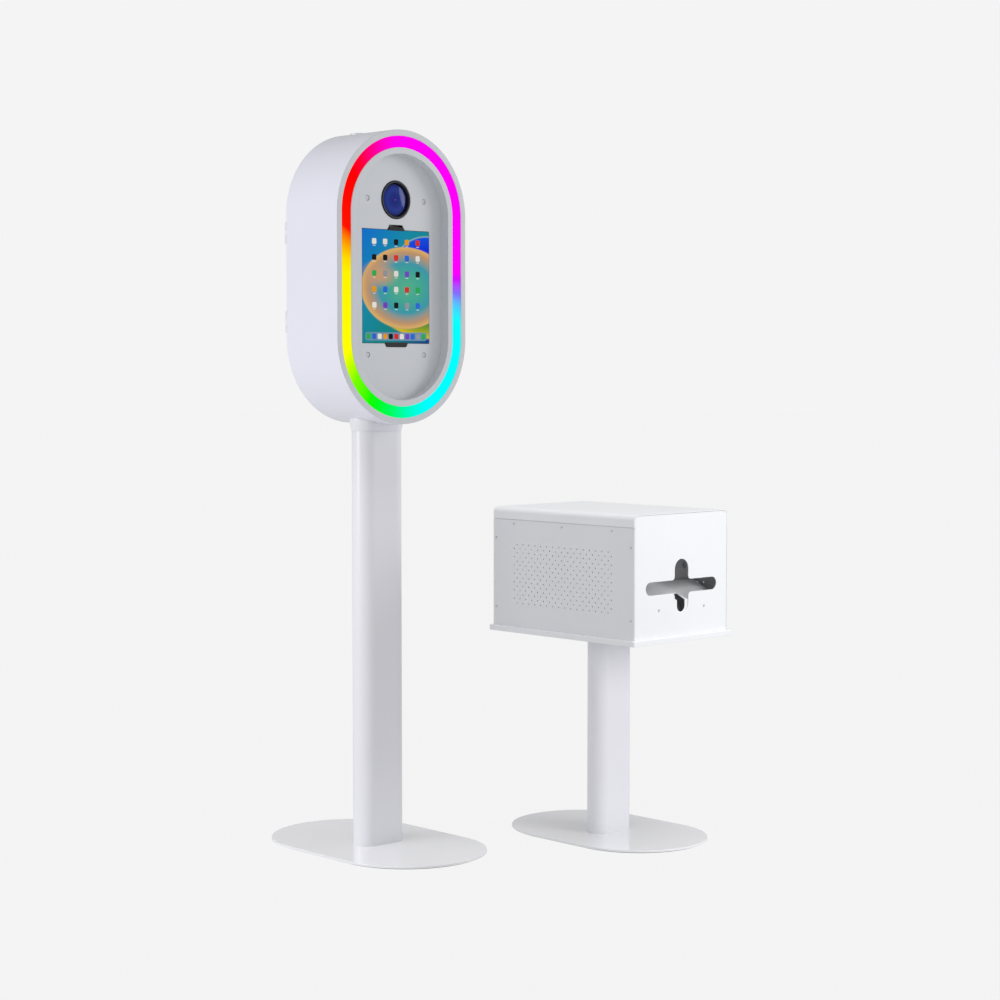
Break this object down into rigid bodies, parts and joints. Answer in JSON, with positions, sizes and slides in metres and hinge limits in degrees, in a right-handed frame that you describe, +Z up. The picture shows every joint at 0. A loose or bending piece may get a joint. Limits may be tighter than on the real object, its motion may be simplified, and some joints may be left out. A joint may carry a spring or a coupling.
{
  "type": "photo booth",
  "caption": "Oval selfie kiosk with a colour light ring, camera and tablet on a slim post, beside its own pedestal print station with a cross-shaped print slot.",
  "frame": {"origin": "on the floor, at the middle of the kiosk's base pad, under the axis of its post", "axes": "+Z up, +X to the right as seen from the front, -Y towards the person in front of the lens"},
  "size_m": [0.855, 0.8264, 1.659],
  "materials": {
    "pad_rubber": "matte ribbed rubber",
    "white_paint": "semi-gloss powder coat",
    "white_gloss": "glossy white lacquer",
    "grey_face": "fine matt light grey paint",
    "station_paint": "satin powder coat",
    "panel_grey": "satin light grey powder coat",
    "zinc_steel": "zinc plated",
    "plain_steel": "plain rolled steel",
    "bare_aluminium": "bare aluminium",
    "bright_trim": "bright nickel",
    "black_plastic": "moulded black plastic",
    "white_plastic": "moulded white plastic",
    "red_plastic": "glossy red plastic",
    "jaw_black": "black plastic with soft pads",
    "camera_black": "fine textured black",
    "ring_rubber": "ribbed black rubber",
    "tablet_metal": "dark anodised aluminium",
    "printer_plastic": "dark satin plastic",
    "paper_white": "glossy photo paper",
    "coated_glass": "blue coated optical glass",
    "screen_glass": "lit display under flat glass",
    "opal": "opal diffuser lit from behind in a colour wheel",
    "strip_white": "flexible circuit strip"
  },
  "bodies": {
    "kiosk_stand": {"kiosk_base_pad": "pad_rubber", "kiosk_base_plate": "white_paint", "kiosk_base_bolts": "zinc_steel", "kiosk_post_foot": "plain_steel", "kiosk_post": "white_paint", "power_inlet": "black_plastic"},
    "head": {"neck_collar": "white_paint", "neck_saddle": "plain_steel", "neck_fasteners": "zinc_steel", "head_shell": "white_gloss", "front_frame": "grey_face", "led_diffuser": "opal", "led_strip": "strip_white", "face_panel": "grey_face", "face_panel_screws": "grey_face", "chassis_plate": "plain_steel", "tablet_bracket": "black_plastic", "tablet_body": "tablet_metal", "tablet_screen": "screen_glass", "tablet_bottom_jaw": "jaw_black", "camera_bracket": "plain_steel", "camera_screw": "zinc_steel", "camera_body": "camera_black", "camera_lens": "camera_black", "lens_glass": "coated_glass", "power_supply": "bare_aluminium", "led_controller": "white_plastic", "top_cap": "jaw_black", "rear_door_hinges": "zinc_steel"},
    "rear_door": {"rear_door": "white_paint", "rear_door_lock": "bright_trim", "fan_frame": "black_plastic"},
    "print_station": {"station_base_pad": "pad_rubber", "station_base_plate": "white_paint", "station_base_bolts": "zinc_steel", "station_post_foot": "plain_steel", "station_post": "white_paint", "station_head_plate": "plain_steel", "printer_pan": "station_paint", "printer_hood": "station_paint", "side_panel_left": "panel_grey", "side_panel_right": "panel_grey", "case_screws": "zinc_steel", "front_plate": "station_paint", "rear_frame": "station_paint", "print_chute": "station_paint", "chute_screws": "zinc_steel", "station_door_hinges": "zinc_steel", "printer_body": "printer_plastic"},
    "rocker": {"rocker_switch": "red_plastic"},
    "tablet_clamp": {"tablet_top_jaw": "jaw_black"},
    "zoom_ring": {"lens_zoom_ring": "ring_rubber"},
    "focus_ring": {"lens_focus_ring": "ring_rubber"},
    "shutter": {"shutter_button": "bright_trim"},
    "rear_door_key": {"rear_door_cam": "zinc_steel"},
    "fan": {"fan_rotor": "black_plastic"},
    "station_door_key": {"station_door_cam": "zinc_steel"},
    "station_door": {"station_door": "station_paint"},
    "printer_power_key": {"printer_button": "bright_trim"},
    "paper": {"paper_roll": "paper_white"}
  },
  "joints": [
    {"name": "station_floor_slide", "type": "slide", "parent": "kiosk_stand", "child": "print_station", "axis": [1, 0, 0], "range_m": [-0.08, 0.4]},
    {"name": "power_rocker", "type": "hinge", "parent": "kiosk_stand", "child": "rocker", "pos_m": [0, 0.034, 0.113], "axis": [-1, 0, 0], "range_deg": [0, 14]},
    {"name": "head_lift", "type": "slide", "parent": "kiosk_stand", "child": "head", "axis": [0, 0, 1], "range_m": [0, 0.09]},
    {"name": "clamp_slide", "type": "slide", "parent": "head", "child": "tablet_clamp", "axis": [0, 0, 1], "range_m": [0, 0.002], "stiffness_N_per_m": 1500, "springref_m": -0.012},
    {"name": "zoom_turn", "type": "hinge", "parent": "head", "child": "zoom_ring", "pos_m": [0, 0, 1.499], "axis": [0, -1, 0], "range_deg": [0, 75]},
    {"name": "focus_turn", "type": "hinge", "parent": "head", "child": "focus_ring", "pos_m": [0, -0.02, 1.499], "axis": [0, -1, 0], "range_deg": [-60, 60]},
    {"name": "shutter_press", "type": "slide", "parent": "head", "child": "shutter", "axis": [0, 0, -1], "range_m": [0, 0.002], "stiffness_N_per_m": 300, "springref_m": -0.002},
    {"name": "rear_door_swing", "type": "hinge", "parent": "head", "child": "rear_door", "pos_m": [-0.187, 0.0925, 1.322], "axis": [0, 0, 1], "range_deg": [0, 110]},
    {"name": "rear_door_lock_turn", "type": "hinge", "parent": "rear_door", "child": "rear_door_key", "pos_m": [0.165, 0.088, 1.322], "axis": [0, 1, 0], "range_deg": [0, 90]},
    {"name": "fan_spin", "type": "hinge", "parent": "rear_door", "child": "fan", "pos_m": [0, 0.078, 1.232], "axis": [0, 1, 0], "continuous": true},
    {"name": "station_door_swing", "type": "hinge", "parent": "print_station", "child": "station_door", "pos_m": [0.353, -0.0387, 0.6345], "axis": [0, 0, 1], "range_deg": [0, 110]},
    {"name": "station_lock_turn", "type": "hinge", "parent": "station_door", "child": "station_door_key", "pos_m": [0.607, -0.0455, 0.6345], "axis": [0, 1, 0], "range_deg": [0, 90]},
    {"name": "printer_key_press", "type": "slide", "parent": "print_station", "child": "printer_power_key", "axis": [0, 1, 0], "range_m": [0, 0.0015], "stiffness_N_per_m": 300, "springref_m": -0.002},
    {"name": "paper_spin", "type": "hinge", "parent": "print_station", "child": "paper", "pos_m": [0.492, -0.3175, 0.576], "axis": [1, 0, 0], "continuous": true}
  ]
}
